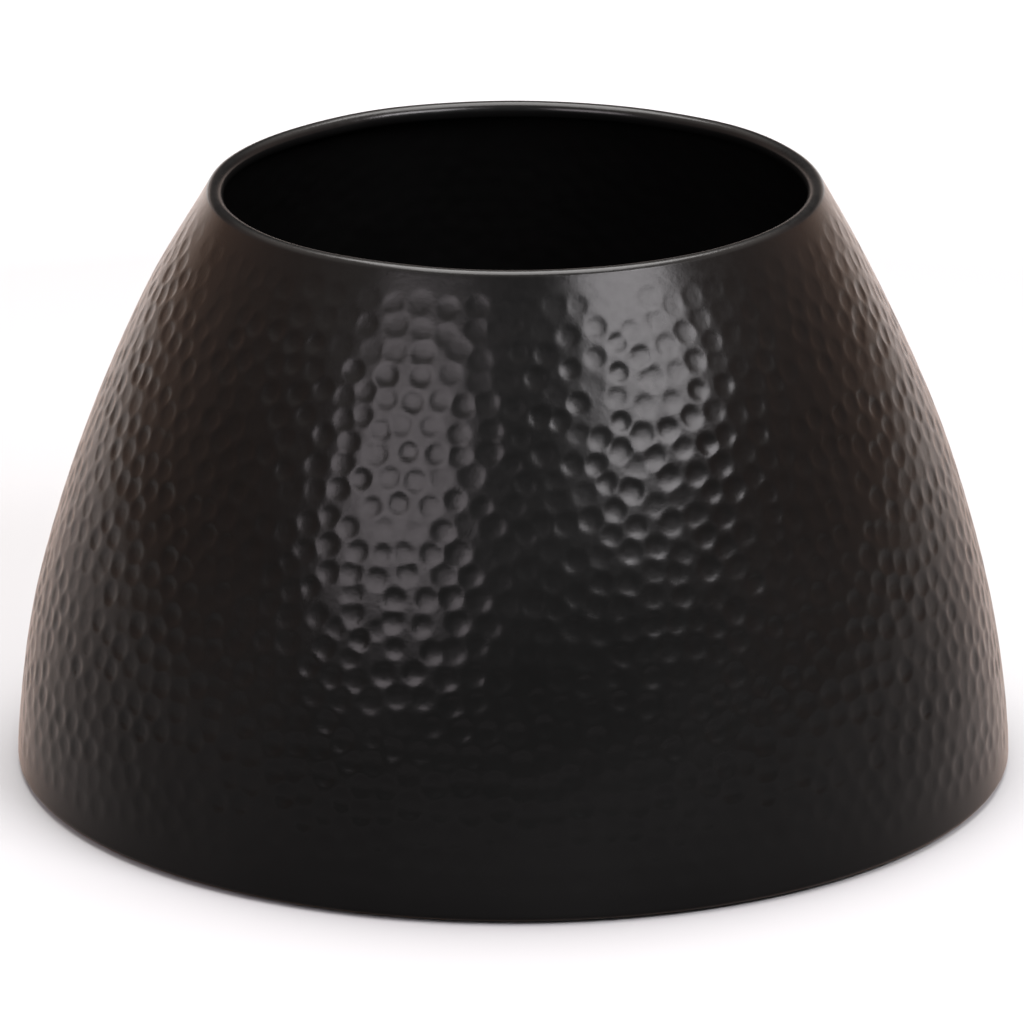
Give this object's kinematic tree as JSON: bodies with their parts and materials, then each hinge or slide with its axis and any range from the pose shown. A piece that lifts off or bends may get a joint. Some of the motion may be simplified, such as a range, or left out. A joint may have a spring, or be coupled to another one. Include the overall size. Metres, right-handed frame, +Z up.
{
  "type": "umbrella stand",
  "caption": "Low, wide bell-shaped umbrella stand of black hammered sheet metal with an open mouth, a rolled lip, a floor on rubber feet and a drip tray that lifts out.",
  "frame": {"origin": "on the ground under the middle of the stand", "axes": "+Z up through the mouth, -Y towards the viewer, +X to the viewer's right"},
  "size_m": [0.4499, 0.45, 0.268],
  "materials": {
    "hammered_black": "satin black paint over hammered steel sheet",
    "steel_wire": "bare drawn steel wire",
    "floor_black": "satin black paint on pressed steel sheet",
    "sealant": "tooled black sealant",
    "tray_plastic": "fine-grained moulded black plastic",
    "foot_rubber": "matte moulded rubber",
    "zinc_steel": "zinc-plated steel",
    "rivet_steel": "plain steel rivet"
  },
  "bodies": {
    "stand": {"shell": "hammered_black", "rim_wire": "steel_wire", "floor_pan": "floor_black", "seam_seal": "sealant", "foot_front_right": "foot_rubber", "foot_front_left": "foot_rubber", "foot_back_left": "foot_rubber", "foot_back_right": "foot_rubber", "foot_washers": "zinc_steel", "foot_rivets": "rivet_steel"},
    "tray": {"drip_tray": "tray_plastic"}
  },
  "joints": [
    {"name": "tray_lift", "type": "slide", "parent": "stand", "child": "tray", "axis": [0, 0, 1], "range_m": [0, 0.3]}
  ]
}
